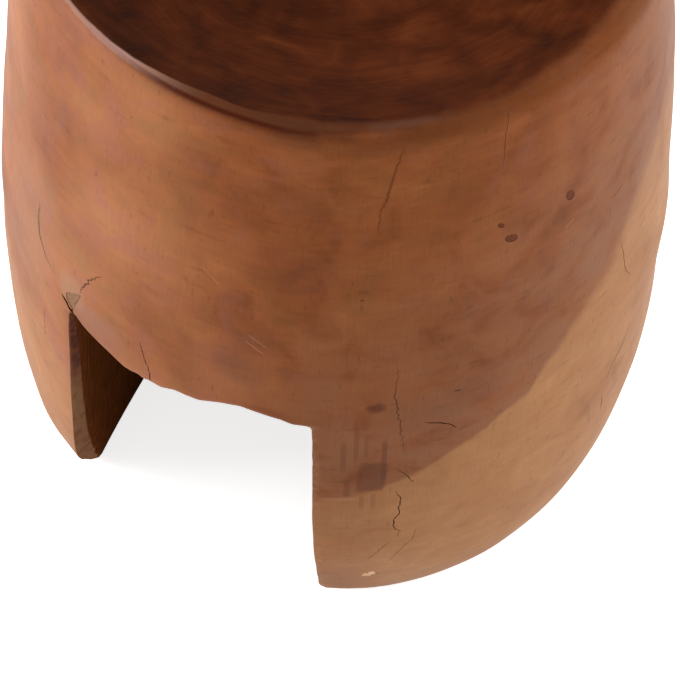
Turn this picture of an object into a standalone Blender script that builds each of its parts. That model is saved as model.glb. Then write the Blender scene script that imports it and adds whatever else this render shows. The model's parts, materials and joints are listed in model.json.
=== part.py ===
# A monoxyl stool: one block of log carved to a barrel, with a dished seat and a channel
# cut through below it that leaves two broad legs. Plugs close old holes in the wall,
# and a wedge of filler closes a split at one corner of the channel.
# Metres, +Z up, origin on the floor under the middle of the barrel, channel along Y.

import math

import bmesh
import bpy
from mathutils import Matrix, Vector

# Barrel
SEAT_HEIGHT = 0.420
BELLY_HEIGHT = 0.194
BELLY_RADIUS = 0.174
FOOT_RADIUS = 0.149
RIM_RADIUS = 0.1595
FOOT_CURVE = 3.8
RIM_CURVE = 1.3
FOOT_ROUND = 0.008
LIP_WIDTH = 0.006
LIP_ROUND = 0.003
DISH_DEPTH = 0.036

# Channel between the legs, with walls that open out towards the floor and bow in plan
CHANNEL_HEIGHT = 0.199
CHANNEL_LEFT = 0.0645
CHANNEL_RIGHT = 0.0750
LEFT_FLARE = 0.0140
RIGHT_FLARE = 0.0055
LEFT_FLARE_CURVE = 3.0
RIGHT_FLARE_CURVE = 1.0
WALL_BOW = 0.007
CORNER_ROUND = 0.006
MOUTH_EASE = 0.004

# Plugs, each by its angle from the front, its drop below the rim and its diameter
PLUG_PLACES = {
    "plug_upper": (70.8, 0.0895, 0.0066),
    "plug_lower": (58.6, 0.0970, 0.0067),
    "plug_small": (56.6, 0.0835, 0.0036),
}
PLUG_LENGTH = 0.016
PLUG_SINK = 0.0003

# Filler wedge, standing on the wood above the left corner of the channel
FILLER_ANGLE = -21.0
FILLER_CLEAR = 0.006
FILLER_HEIGHT = 0.022
FILLER_TOP_WIDTH = 0.011
FILLER_TIP_WIDTH = 0.002
FILLER_DEPTH = 0.010
FILLER_SINK = 0.0003

# Gap left all round a piece that sits in the wood
SEAT_GAP = 0.0003
# How far a cutter runs past the face that it breaks through
CUT_MARGIN = 0.010

# Facets
BARREL_STEPS = 80
WALL_RINGS = 22
DISH_RINGS = 8
ROUND_RINGS = 4
CHANNEL_STATIONS = 9
CHANNEL_RINGS = 8
CEILING_RINGS = 10
PLUG_SIDES = 20


def wall_radius(height):
    """Outer radius of the barrel at a height above the floor."""
    if height < BELLY_HEIGHT:
        share = (BELLY_HEIGHT - height) / BELLY_HEIGHT
        return BELLY_RADIUS - (BELLY_RADIUS - FOOT_RADIUS) * share**FOOT_CURVE
    share = (height - BELLY_HEIGHT) / (SEAT_HEIGHT - BELLY_HEIGHT)
    return BELLY_RADIUS - (BELLY_RADIUS - RIM_RADIUS) * share**RIM_CURVE


def wall_place(angle, height):
    """Frame on the wall: Z points out of the wood, X runs round the barrel and Y up it."""
    step = 0.001
    slope = (wall_radius(height + step) - wall_radius(height - step)) / (2 * step)
    turn = math.radians(angle)
    away = Vector((math.sin(turn), -math.cos(turn), 0))
    outward = (away - Vector((0, 0, slope))).normalized()
    along = Vector((math.cos(turn), math.sin(turn), 0))
    upward = outward.cross(along)
    place = Matrix((along, upward, outward)).transposed().to_4x4()
    place.translation = away * wall_radius(height) + Vector((0, 0, height))
    return place


def round_edge(centre_x, centre_z, radius, start, end):
    """Points of an arc in the XZ plane, from one angle in degrees to another."""
    turns = [math.radians(start + (end - start) * i / ROUND_RINGS) for i in range(ROUND_RINGS + 1)]
    return [(centre_x + radius * math.cos(t), centre_z + radius * math.sin(t)) for t in turns]


def body_profile():
    """Half section of the barrel, from the middle of the dish over the lip and down to the floor."""
    dish_radius = RIM_RADIUS - LIP_WIDTH
    points = []
    for i in range(DISH_RINGS + 1):
        x = dish_radius * i / DISH_RINGS
        points.append((x, SEAT_HEIGHT - DISH_DEPTH * (1 - (x / dish_radius) ** 2)))
    lip_radius = wall_radius(SEAT_HEIGHT - LIP_ROUND)
    points += round_edge(lip_radius - LIP_ROUND, SEAT_HEIGHT - LIP_ROUND, LIP_ROUND, 90, 0)
    wall_top = SEAT_HEIGHT - LIP_ROUND
    for i in range(1, WALL_RINGS):
        height = wall_top + (FOOT_ROUND - wall_top) * i / WALL_RINGS
        points.append((wall_radius(height), height))
    points += round_edge(wall_radius(FOOT_ROUND) - FOOT_ROUND, FOOT_ROUND, FOOT_ROUND, 0, -90)
    points.append((0, 0))
    return points


def channel_section(bow):
    """Outline of the channel in XZ, up its right wall and down its left one."""

    def wall(reach, flare, curve, height):
        height = max(height, 0)
        spread = reach + bow + flare * (1 - height / CHANNEL_HEIGHT) ** curve
        if height < FOOT_ROUND:
            spread += FOOT_ROUND - math.sqrt(FOOT_ROUND**2 - (FOOT_ROUND - height) ** 2)
        return spread

    spring = CHANNEL_HEIGHT - CORNER_ROUND
    heights = [-CUT_MARGIN] + [z for _, z in round_edge(0, FOOT_ROUND, FOOT_ROUND, -90, 0)]
    rise = (spring - FOOT_ROUND) / CHANNEL_RINGS
    heights += [FOOT_ROUND + rise * i for i in range(1, CHANNEL_RINGS + 1)]
    right = [(wall(CHANNEL_RIGHT, RIGHT_FLARE, RIGHT_FLARE_CURVE, z), z) for z in heights]
    left = [(-wall(CHANNEL_LEFT, LEFT_FLARE, LEFT_FLARE_CURVE, z), z) for z in reversed(heights)]
    right_corner = round_edge(right[-1][0] - CORNER_ROUND, spring, CORNER_ROUND, 0, 90)[1:]
    left_corner = round_edge(left[0][0] + CORNER_ROUND, spring, CORNER_ROUND, 90, 180)[:-1]
    start = right_corner[-1][0]
    span = left_corner[0][0] - start
    ceiling = [(start + span * i / CEILING_RINGS, CHANNEL_HEIGHT) for i in range(1, CEILING_RINGS)]
    return right + right_corner + ceiling + left_corner + left


def grown(outline, distance):
    """Outline moved outwards along its own normals, with its ends on the floor side kept level."""
    result = []
    for i, (x, z) in enumerate(outline):
        before = outline[max(i - 1, 0)]
        after = outline[min(i + 1, len(outline) - 1)]
        run = Vector((after[0] - before[0], after[1] - before[1])).normalized()
        result.append((x + run.y * distance, z - run.x * distance))
    return result


def wall_depth(x, height):
    """Distance of the barrel's face from the plane y = 0, at a place across the channel."""
    radius = wall_radius(max(height, 0))
    return math.sqrt(max(radius**2 - x**2, 0))


def channel_rings():
    """Outlines of the channel from the front to the back, eased where they meet the barrel's face."""
    mouth = grown(channel_section(0), MOUTH_EASE)
    far = BELLY_RADIUS + CUT_MARGIN
    front = [
        [(x, -far, z) for x, z in mouth],
        [(x, -wall_depth(x, z), z) for x, z in mouth],
    ]
    middle = []
    for i in range(CHANNEL_STATIONS):
        share = -1 + 2 * i / (CHANNEL_STATIONS - 1)
        outline = channel_section(WALL_BOW * (1 - share**2))
        middle.append([(x, share * (wall_depth(x, z) - MOUTH_EASE), z) for x, z in outline])
    back = [[(x, -y, z) for x, y, z in ring] for ring in reversed(front)]
    return front + middle + back


def material(name, colour, roughness):
    finish = bpy.data.materials.new(name)
    finish.use_nodes = True
    shader = finish.node_tree.nodes["Principled BSDF"]
    shader.inputs["Base Color"].default_value = (*colour, 1)
    shader.inputs["Roughness"].default_value = roughness
    shader.inputs["Metallic"].default_value = 0
    return finish


def collection(name):
    group = bpy.data.collections.new(name)
    bpy.context.scene.collection.children.link(group)
    return group


def add_object(name, mesh, group, finish=None):
    piece = bpy.data.objects.new(name, mesh)
    group.objects.link(piece)
    if finish:
        mesh.materials.append(finish)
    else:
        piece.hide_render = True
        piece.display_type = "WIRE"
    return piece


def turned_mesh(name, points):
    """Open profile in the XZ plane, to be turned by a Screw modifier."""
    mesh = bpy.data.meshes.new(name)
    edges = [(i, i + 1) for i in range(len(points) - 1)]
    mesh.from_pydata([(x, 0, z) for x, z in points], edges, [])
    return mesh


def loft_mesh(name, rings):
    """Closed solid through rings of equal length, capped at both ends."""
    mesh = bpy.data.meshes.new(name)
    shape = bmesh.new()
    loops = [[shape.verts.new(point) for point in ring] for ring in rings]
    for near, far in zip(loops, loops[1:]):
        for i in range(len(near)):
            shape.faces.new((near[i - 1], near[i], far[i], far[i - 1]))
    shape.faces.new(loops[0])
    shape.faces.new(loops[-1])
    bmesh.ops.recalc_face_normals(shape, faces=shape.faces)
    shape.to_mesh(mesh)
    shape.free()
    return mesh


def cylinder_mesh(name, diameter, low, high):
    """Round bar along Z between two heights."""
    mesh = bpy.data.meshes.new(name)
    shape = bmesh.new()
    bmesh.ops.create_cone(
        shape,
        cap_ends=True,
        segments=PLUG_SIDES,
        radius1=diameter / 2,
        radius2=diameter / 2,
        depth=high - low,
        matrix=Matrix.Translation((0, 0, (low + high) / 2)),
    )
    shape.to_mesh(mesh)
    shape.free()
    return mesh


def wedge_mesh(name, gap, low, high):
    """Filler wedge, tip down, with its outline grown by a gap and its depth along Z."""
    tip = FILLER_TIP_WIDTH / 2 + gap
    top = FILLER_TOP_WIDTH / 2 + gap
    ring = [(-tip, -gap), (tip, -gap), (top, FILLER_HEIGHT + gap), (-top, FILLER_HEIGHT + gap)]
    return loft_mesh(name, [[(x, y, z) for x, y in ring] for z in (low, high)])


def cut(body, cutter):
    boolean = body.modifiers.new(cutter.name, "BOOLEAN")
    boolean.operation = "DIFFERENCE"
    boolean.solver = "EXACT"
    boolean.object = cutter


def make_body(parts):
    finish = material("oiled_hardwood", (0.36, 0.16, 0.075), 0.5)
    body = add_object("stool_body", turned_mesh("stool_body", body_profile()), parts, finish)
    screw = body.modifiers.new("turn", "SCREW")
    screw.axis = "Z"
    screw.steps = BARREL_STEPS
    screw.render_steps = BARREL_STEPS
    screw.use_merge_vertices = True
    screw.merge_threshold = 0.00001
    screw.use_smooth_shade = True
    return body


def cut_channel(body, cutters):
    cut(body, add_object("channel_cutter", loft_mesh("channel_cutter", channel_rings()), cutters))


def make_plugs(body, parts, cutters):
    finish = material("dark_wood_plug", (0.10, 0.035, 0.018), 0.55)
    for name, (angle, drop, diameter) in PLUG_PLACES.items():
        place = wall_place(angle, SEAT_HEIGHT - drop)
        bottom = -PLUG_LENGTH - PLUG_SINK
        plug = add_object(name, cylinder_mesh(name, diameter, bottom, -PLUG_SINK), parts, finish)
        plug.matrix_world = place
        plug.data.shade_smooth()
        plug.data.set_sharp_from_angle(angle=math.radians(40))
        hole = cylinder_mesh(name + "_hole", diameter + 2 * SEAT_GAP, bottom - SEAT_GAP, CUT_MARGIN)
        cutter = add_object(name + "_hole", hole, cutters)
        cutter.matrix_world = place
        cut(body, cutter)


def make_filler(body, parts, cutters):
    place = wall_place(FILLER_ANGLE, CHANNEL_HEIGHT + FILLER_CLEAR)
    bottom = -FILLER_DEPTH - FILLER_SINK
    finish = material("grey_wood_filler", (0.30, 0.24, 0.16), 0.8)
    wedge = wedge_mesh("crack_filler", 0, bottom, -FILLER_SINK)
    filler = add_object("crack_filler", wedge, parts, finish)
    filler.matrix_world = place
    pocket = wedge_mesh("filler_pocket", SEAT_GAP, bottom - SEAT_GAP, CUT_MARGIN)
    cutter = add_object("filler_pocket", pocket, cutters)
    cutter.matrix_world = place
    cut(body, cutter)


def main():
    for thing in list(bpy.data.objects):
        bpy.data.objects.remove(thing)
    parts = collection("wooden_stool")
    cutters = collection("cutters")
    body = make_body(parts)
    cut_channel(body, cutters)
    make_plugs(body, parts, cutters)
    make_filler(body, parts, cutters)


main()
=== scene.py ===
# Barrel stool carved from one log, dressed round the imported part
# Metres, +Z up, the front mouth of the channel faces -Y
import json
import math
from functools import partial

import bmesh
import bpy
import numpy as np
from mathutils import Matrix, Vector

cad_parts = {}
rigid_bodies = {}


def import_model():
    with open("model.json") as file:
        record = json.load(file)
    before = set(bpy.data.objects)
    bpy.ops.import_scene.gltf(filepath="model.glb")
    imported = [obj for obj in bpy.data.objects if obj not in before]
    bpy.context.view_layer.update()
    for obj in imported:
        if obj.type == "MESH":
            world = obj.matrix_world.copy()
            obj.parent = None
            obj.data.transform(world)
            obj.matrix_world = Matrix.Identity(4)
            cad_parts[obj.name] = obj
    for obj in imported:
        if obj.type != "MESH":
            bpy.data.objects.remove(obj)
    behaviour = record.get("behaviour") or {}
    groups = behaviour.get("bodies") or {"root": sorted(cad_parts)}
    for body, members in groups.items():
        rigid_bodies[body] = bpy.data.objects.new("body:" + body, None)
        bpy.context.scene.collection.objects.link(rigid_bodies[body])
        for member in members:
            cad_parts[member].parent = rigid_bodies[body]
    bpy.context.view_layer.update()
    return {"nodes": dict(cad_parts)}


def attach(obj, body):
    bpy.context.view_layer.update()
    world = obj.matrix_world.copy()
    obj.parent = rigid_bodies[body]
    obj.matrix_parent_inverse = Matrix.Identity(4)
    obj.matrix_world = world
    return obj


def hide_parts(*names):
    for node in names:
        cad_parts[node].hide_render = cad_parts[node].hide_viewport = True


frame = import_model()
scene = bpy.context.scene
print("frame loaded:", len(frame["nodes"]), "nodes")

body = {
    "height": 0.420, "bellyHeight": 0.194,
    "bellyRadius": 0.174, "footRadius": 0.149, "rimRadius": 0.1595,
    "footCurve": 3.8, "rimCurve": 1.3, "overrun": 1.1,  # the curves run on a little past both ends
    "footRound": (0.006, 0.018),  # plain, and at the worn front corner of the right foot
    "footCorner": (0.095, 0.03),  # how far forward that corner starts, and its length
    "dishDepth": 0.036, "lipWidth": 0.006,
    "lipRound": (0.0026, 0.012),  # crisp on one side, worn soft on the other
    "lipWorn": ((-180, 0.5), (-150, 0), (14, 0), (50, 1), (150, 1), (180, 0.5)),  # by degrees from the front
    "ceiling": 0.199, "halfDepth": 0.157, "cornerRound": 0.0035,
    # channel walls at their mouths, and how far they bow outwards between them, by height, all in mm
    "leftReach": ((0, 69.2), (12, 68), (25, 66.2), (50, 64.6), (100, 62.5), (150, 61.7), (199, 63)),
    "leftBow": ((0, 14.2), (100, 10.4), (199, 7)),
    "rightReach": ((0, 67.3), (6, 67.6), (25, 70.8), (54, 74), (86, 75.2), (118, 75.1), (147, 74.6),
                   (175, 74), (199, 73.2)),
    "rightBow": ((0, 7), (199, 7)),
    # front edge of the ceiling as it was chopped, across and up in mm
    "archEdge": ((-66, 200.6), (-63, 201), (-60.5, 203.4), (-55, 200), (-34, 195.2), (-26, 192.6), (-21, 193),
                 (-18, 194.4), (-14.5, 193), (-10.5, 194.2), (-4, 193.4), (4, 196.6), (18, 197), (30, 201),
                 (39, 202.4), (60, 197.5), (65, 194.6), (76, 194)),
    "archFade": (0.35, 0.5),  # how far forward that line starts to fade in, and over how much, in half depths
    # worn bevel of the mouth, along the inner and the outer face, in mm
    "leftBevelIn": ((0, 5), (12, 9.5), (30, 14.6), (50, 15.4), (100, 13.6), (150, 10.8), (180, 8), (199, 4)),
    "leftBevelOut": ((0, 4.6), (12, 5.6), (30, 6), (50, 5.5), (100, 4.5), (180, 3.5), (199, 2)),
    "rightBevel": ((0, 3.6), (14, 2.8), (32, 2), (60, 1.3), (199, 1)),
    "archBevel": 0.0009, "backBevel": 0.0035,
    "archBlend": 0.006, "backBlend": 0.02,  # lengths over which one bevel turns into the next
    "edgeSoft": 0.0007, "bevelSoft": 0.0012,
    # height and size of the tool marks
    "nibble": (0.00025, 0.006), "lump": (0.0008, 0.085), "adze": (0.0003, 0.024), "gouge": (0.00022, 0.011),
    "gougeStretch": (1, 1, 0.2),
    # where the carver's wall swells or falls back: degrees, mm up, half widths of both, mm outwards
    "swells": ((-36.5, 46, 6, 20, 1.3), (-33, 6, 12, 16, -2.6), (-28, 26, 5, 24, -0.8),
               (-62, 300, 28, 60, -0.6), (117, 285, 26, 45, 0.8), (108, 150, 20, 40, -0.3),
               (108, 186, 14, 28, 1.2), (98, 65, 16, 40, -0.8), (62, 28, 34, 26, 0.8),
               (36, 10, 16, 16, 1.0)),
    # how far the rim falls inside its circle, and the groove under the lip, by degrees from the front, in mm
    "rimFlat": ((-180, 0), (-60, 0), (-45, 1.5), (-30, 2.9), (-10, 3.2), (0, 2.7), (8, 2.2), (14, 1.4),
                (19, -0.4), (24, -0.4), (30, 0.5), (40, 0.3), (55, 0), (180, 0)),
    "lipGroove": ((-180, 0), (-40, 0), (-16, 0.1), (-8, 0.4), (-2, 0.7), (12, 0.7), (22, 0.5),
                  (28, 0), (180, 0)),
    "flatDrop": 0.045, "grooveDrop": 1.8, "grooveWidth": 1.5,
    # the net: steps close to an edge, cells along each stretch, and the rings of the dish
    "edgeSteps": (0.0007, 0.0016, 0.0029, 0.0048, 0.0075),
    "acrossCells": 70, "legCells": 90, "soleCells": 22, "lowCells": 80, "highCells": 58,
    "soleWidth": 0.06, "seamBlend": 0.025,
    "dishInsets": (0.0105, 0.014), "dishStart": 0.0185, "dishStep": 0.0045, "dishMiddle": 0.004,
    "columnGap": 0.0018, "fewestColumns": 20,
}
atMouth = -1  # any place in front of the channel's mouth
closeEnough = 0.000001


def smoothLine(name, soften=0.12, samples=241):  # a table of the body as a smooth function
    xs, ys = np.array(body[name], float).T
    grid = np.linspace(xs[0], xs[-1], samples)
    window = int(samples * soften) | 1
    padded = np.pad(np.interp(grid, xs, ys), window, mode="edge")
    eased = np.convolve(padded, np.ones(window) / window, "same")[window:-window]
    return lambda x: np.interp(x, grid, eased)


leftReach = smoothLine("leftReach")
rightReach = smoothLine("rightReach", 0.08)
leftBow = smoothLine("leftBow")
rightBow = smoothLine("rightBow")
leftBevelIn = smoothLine("leftBevelIn", 0.06)
leftBevelOut = smoothLine("leftBevelOut", 0.06)
rightBevel = smoothLine("rightBevel", 0.03)
archEdge = smoothLine("archEdge", 0.015)
lipWorn = smoothLine("lipWorn", 0.04)
lipGroove = smoothLine("lipGroove", 0.02)
rimFlat = smoothLine("rimFlat", 0.02)


def wallRadius(z):
    below = np.clip((body["bellyHeight"] - z) / body["bellyHeight"], 0, body["overrun"])
    above = np.clip((z - body["bellyHeight"]) / (body["height"] - body["bellyHeight"]), 0, body["overrun"])
    narrowing = (body["bellyRadius"] - body["footRadius"]) * below ** body["footCurve"]
    closing = (body["bellyRadius"] - body["rimRadius"]) * above ** body["rimCurve"]
    return body["bellyRadius"] - narrowing - closing


def channelReach(side, y, z):  # how far a channel wall stands from the middle plane
    reach, bow = (leftReach, leftBow) if side == "left" else (rightReach, rightBow)
    plan = np.clip(y / body["halfDepth"], -1, 1)
    return (reach(z * 1000) + bow(z * 1000) * (1 - plan ** 2)) / 1000


latticeSize, lumpSeed = 32, 11
lattice = np.random.default_rng(lumpSeed).uniform(-1, 1, (latticeSize, latticeSize, latticeSize))


def lumps(points, size):  # smooth noise from -1 to 1, one lump per size
    cell = np.floor(points / size).astype(int)
    t = points / size - cell
    t = t * t * (3 - 2 * t)
    total = np.zeros(len(points))
    for corner in np.ndindex(2, 2, 2):
        i, j, k = ((cell + corner) % latticeSize).T
        total += lattice[i, j, k] * np.prod(np.where(corner, t, 1 - t), axis=1)
    return total


def softMax(a, b, size):
    near = np.maximum(size - abs(a - b), 0) / size
    return np.maximum(a, b) + near * near * size / 4


def blendTo(a, b, share):
    return a + (b - a) * np.clip(share, 0, 1)


def ceilingHeight(x, y):
    start, length = body["archFade"]
    share = (-y / body["halfDepth"] - start) / length
    return blendTo(body["ceiling"], archEdge(x * 1000) / 1000, share)


def bodyFaces(points):  # barrel wall, top, floor and channel, each below 0 in the wood
    x, y, z = points.T
    out = np.hypot(x, y)
    turn = np.degrees(np.arctan2(x, -y))
    uneven = sum(body[name][0] * lumps(points, body[name][1]) for name in ("lump", "adze"))
    for degrees, up, wide, tall, swell in body["swells"]:
        off = ((turn - degrees + 180) % 360 - 180) / wide
        uneven = uneven + swell / 1000 * np.exp(-off ** 2 - ((z * 1000 - up) / tall) ** 2)
    drop = body["height"] - z
    groove = lipGroove(turn) / 1000 * np.exp(-((drop * 1000 - body["grooveDrop"]) / body["grooveWidth"]) ** 2)
    flat = rimFlat(turn) / 1000
    wall = out - wallRadius(z) - uneven + groove + flat * np.exp(-(drop / body["flatDrop"]) ** 2)
    dishRadius = body["rimRadius"] - body["lipWidth"] - flat
    share = np.clip(out / dishRadius, 0, 1)
    slope = np.where(out < dishRadius, 2 * body["dishDepth"] * share / dishRadius, 0)
    scoop = body["gouge"][0] * lumps(points * body["gougeStretch"], body["gouge"][1]) * (share < 1)
    top = (z - body["height"] + body["dishDepth"] * (1 - share ** 2) - scoop) / np.sqrt(1 + slope ** 2)
    sides = np.maximum(-channelReach("left", y, z) - x, x - channelReach("right", y, z))
    roof = z - ceilingHeight(x, y)
    return wall, top, -z, sides, roof


def bodyField(points):  # below 0 in the wood, above 0 outside
    x, y, z = points.T
    wall, top, sole, sides, roof = bodyFaces(points)
    crisp, soft = body["lipRound"]
    worn = lipWorn(np.degrees(np.arctan2(x, -y)))
    block = softMax(wall, top, blendTo(crisp, soft, worn))
    hollow = -softMax(sides, roof, body["cornerRound"])
    rough = body["nibble"][0] * lumps(points, body["nibble"][1])
    atArch = (roof - sides) / body["archBlend"] + 0.5
    atBack = y / body["backBlend"] + 0.5
    bevels = []
    for line in (leftBevelIn, leftBevelOut):
        bevel = np.where(x < 0, line(z * 1000), rightBevel(z * 1000)) / 1000
        bevel = blendTo(bevel, body["archBevel"], atArch)
        bevels.append(blendTo(bevel, body["backBevel"], atBack) + rough)
    bevelIn, bevelOut = bevels
    sharp = softMax(block, hollow, body["edgeSoft"])
    cut = (block / bevelIn + hollow / bevelOut + 1) / np.sqrt(1 / bevelIn ** 2 + 1 / bevelOut ** 2)
    plain, corner = body["footRound"]
    start, length = body["footCorner"]
    atCorner = np.minimum(1 + hollow / length, (-y - start) / length) * (x > 0)
    return softMax(softMax(sharp, cut, body["bevelSoft"]), sole, blendTo(plain, corner, atCorner))


def fieldSlope(points, step=0.00005):
    rises = [bodyField(points + d) - bodyField(points - d) for d in np.eye(3) * step]
    return np.stack(rises, 1) / (2 * step)


# moves points onto the field's surface, with limits where a nearly flat field would throw one far
def settle(points, rounds=6, longestMove=0.004, leastSlope=0.3):
    points, active = np.array(points), np.arange(len(points))
    for _ in range(rounds):
        part = points[active]
        value, slope = bodyField(part), fieldSlope(part)
        move = value / np.maximum((slope ** 2).sum(1), leastSlope)
        points[active] = part - slope * np.clip(move, -longestMove, longestMove)[:, None]
        active = active[abs(value) > closeEnough]
    return points


def unfold(mesh, rounds=10, leastFacing=0.15):  # evens out faces that settling turned over along sharp edges
    count = len(mesh.vertices)
    places, links = np.zeros(count * 3), np.zeros(len(mesh.edges) * 2, int)
    mesh.vertices.foreach_get("co", places)
    mesh.edges.foreach_get("vertices", links)
    points, (a, b) = places.reshape(-1, 3), links.reshape(-1, 2).T
    normals, middles = np.zeros(len(mesh.polygons) * 3), np.zeros(len(mesh.polygons) * 3)
    for _ in range(rounds):
        mesh.polygons.foreach_get("normal", normals)
        mesh.polygons.foreach_get("center", middles)
        facing = (fieldSlope(middles.reshape(-1, 3)) * normals.reshape(-1, 3)).sum(1)
        folded = np.flatnonzero(facing < leastFacing)
        if not len(folded):
            break
        loose = np.zeros(count, bool)
        loose[[v for f in folded for v in mesh.polygons[f].vertices]] = True
        total, near = np.zeros((count, 3)), np.zeros(count)
        for p, q in ((a, b), (b, a)):
            np.add.at(total, p, points[q])
            np.add.at(near, p, 1)
        points[loose] = settle(total[loose] / near[loose, None], rounds=4)
        mesh.vertices.foreach_set("co", points.ravel())
        mesh.update()
    print("folded faces left:", len(folded))


def spread(length, cells, first=None, last=None):  # places from 0 to 1, close together near both ends
    steps = np.array([0, *body["edgeSteps"]])
    near, far = (steps / length * (1 if end is None else end / steps[-1]) for end in (first, last))
    inner = np.linspace(near[-1], 1 - far[-1], cells - 2 * len(steps) + 3)
    return np.concatenate([near[:-1], inner, 1 - far[-2::-1]])


def addPoint(net, *place):
    net["points"].append(place)
    return len(net["points"]) - 1


def addGrid(net, rows):
    for a, b in zip(rows, rows[1:]):
        for i in range(len(a) - 1):
            corners = dict.fromkeys((a[i], a[i + 1], b[i + 1], b[i]))  # three where a strip runs to a point
            net["faces"].append(tuple(corners))


def legRow(side, z):  # one level of a leg, round the barrel and along the channel
    sign = -1 if side == "left" else 1
    radius = float(wallRadius(z))
    mouth = math.asin(float(channelReach(side, atMouth, z)) / radius)
    half, arc = radius * math.cos(mouth), (math.pi - 2 * mouth) * radius
    lines = (leftBevelOut, leftBevelIn) if side == "left" else (rightBevel, rightBevel)
    crease = [float(line(z * 1000)) / 1000 / math.cos(mouth) for line in lines]
    back = body["backBevel"] / math.cos(mouth)
    turns = mouth + arc / radius * spread(arc, body["legCells"], crease[0], back)
    outer = np.array([(sign * radius * math.sin(t), -radius * math.cos(t), z) for t in turns])
    depths = (2 * spread(2 * half, body["legCells"], crease[1], back) - 1) * half
    within = np.array([(sign * float(channelReach(side, y, z)), y, z) for y in depths])
    steps = np.array([0, *body["edgeSteps"]])
    share = 0.5 + 0.5 * steps[:, None] / steps[-1]
    for end in (slice(None, len(steps)), slice(-1, -len(steps) - 1, -1)):  # straight across each bevel
        wallSide, channelSide = outer[end][-1].copy(), within[end][-1].copy()
        outer[end] = blendTo(channelSide, wallSide, share)
        within[end] = blendTo(wallSide, channelSide, share)
    return outer, within


def addLegs(net):
    legWall, inner = {}, {}
    for side in ("left", "right"):
        legWall[side], inner[side] = [], []
        for z in spread(body["ceiling"], body["lowCells"]) * body["ceiling"]:
            outer, within = legRow(side, z)
            row = [addPoint(net, *p) for p in outer]
            legWall[side].append(row)
            inner[side].append([row[0], *(addPoint(net, *p) for p in within[1:-1]), row[-1]])
        addGrid(net, legWall[side])
        addGrid(net, inner[side])
    return legWall, inner


def addCeiling(net, inner):
    ceiling = body["ceiling"]
    reach = [float(channelReach(side, atMouth, ceiling)) for side in ("left", "right")]
    across = -reach[0] + spread(sum(reach), body["acrossCells"]) * sum(reach)
    deep = spread(2 * body["halfDepth"], body["legCells"])
    roof = [inner["left"][-1]]
    for x in across[1:-1]:
        half = math.sqrt(float(wallRadius(ceiling)) ** 2 - x * x)
        roof.append([addPoint(net, x, (2 * d - 1) * half, ceiling) for d in deep])
    roof.append(inner["right"][-1])
    addGrid(net, roof)
    return roof


def addBarrel(net, legWall, roof):  # rings from the ceiling up to the rim
    ceiling, height = body["ceiling"], body["height"]
    ring = [row[0] for row in roof] + legWall["right"][-1][1:]
    ring += [row[-1] for row in reversed(roof[:-1])] + legWall["left"][-1][-2:0:-1]
    start = np.array([net["points"][i][:2] for i in ring]) / float(wallRadius(ceiling))
    rings = [ring]
    levels = ceiling + spread(height - ceiling, body["highCells"]) * (height - ceiling)
    for z in levels[1:]:
        rings.append([addPoint(net, *(place * float(wallRadius(z))), z) for place in start])
    addGrid(net, [[*r, r[0]] for r in rings])
    return rings[-1], start


def addDish(net, last, start):  # rings towards the middle, with half the columns each time they crowd
    height, reach = body["height"], body["rimRadius"]
    radii = [reach - inset for inset in (*body["edgeSteps"], *body["dishInsets"])]
    radii += list(np.arange(reach - body["dishStart"], body["dishMiddle"], -body["dishStep"]))
    for radius in radii:
        gap = 2 * math.pi * radius / len(last)
        crowded = gap < body["columnGap"] and len(last) > body["fewestColumns"]
        if crowded:
            start = start[::2]
        row = [addPoint(net, *(place * radius), height) for place in start]
        if crowded:
            for i in range(len(row)):
                a, b, c = (last[(2 * i + n) % len(last)] for n in range(3))
                p, q = row[i], row[(i + 1) % len(row)]
                net["faces"].extend([(a, b, p), (b, q, p), (b, c, q)])
        else:
            addGrid(net, [[*last, last[0]], [*row, row[0]]])
        last = row
    centre = addPoint(net, 0, 0, height)
    net["faces"].extend((last[i], last[(i + 1) % len(last)], centre) for i in range(len(last)))


def addSoles(net, legWall, inner):  # between the foot of each channel wall and that of the barrel
    points, faces = net["points"], net["faces"]
    tip = len(body["edgeSteps"])  # columns at each end that close straight across
    for side in ("left", "right"):
        near, far = inner[side][0], legWall[side][0]
        pairs = list(zip(near, far))[tip:-tip]
        strips = [near[tip:-tip]]
        for share in spread(body["soleWidth"], body["soleCells"])[1:-1]:
            places = [blendTo(np.array(points[a]), np.array(points[b]), share) for a, b in pairs]
            strips.append([addPoint(net, *place) for place in places])
        strips.append(far[tip:-tip])
        addGrid(net, strips)
        addGrid(net, [near[:tip], far[:tip]])
        addGrid(net, [near[-tip:], far[-tip:]])
        for last, end in ((tip - 1, 0), (-tip, -1)):  # a fan joins the strips to each tip
            column = [strip[end] for strip in strips]
            middle = len(column) // 2
            faces.append((near[last], column[middle], far[last]))
            for i in range(len(column) - 1):
                faces.append((near[last] if i < middle else far[last], column[i], column[i + 1]))


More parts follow.
